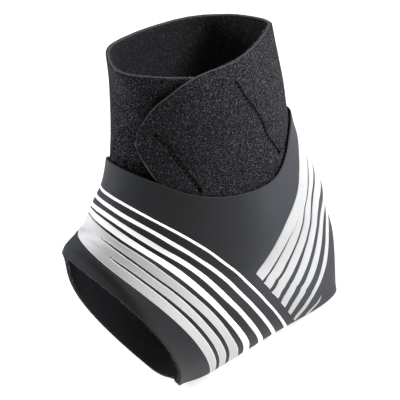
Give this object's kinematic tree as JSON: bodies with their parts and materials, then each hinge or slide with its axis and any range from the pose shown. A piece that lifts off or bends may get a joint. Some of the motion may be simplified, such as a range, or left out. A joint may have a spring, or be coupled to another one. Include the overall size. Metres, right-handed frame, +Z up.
{
  "type": "ankle brace",
  "caption": "Stretch ankle sleeve open at toes and leg, lined with plush, with a padded strip wound round the leg and closed by a round-ended flap.",
  "frame": {"origin": "centre of the object's box, on the floor under the flat sole", "axes": "+Z up the leg, -X towards the toes, -Y towards the side on which the flap closes"},
  "size_m": [0.1424, 0.0704, 0.186],
  "materials": {
    "sleeve_cloth": "smooth matt charcoal stretch cloth",
    "plush": "short black brushed plush",
    "loop_cloth": "black brushed loop cloth on foam",
    "hook_tape": "black hook tape"
  },
  "bodies": {
    "root": {"sleeve_shell": "sleeve_cloth", "sleeve_lining": "plush", "ankle_wrap": "loop_cloth", "hook_patch": "hook_tape"}
  },
  "joints": []
}
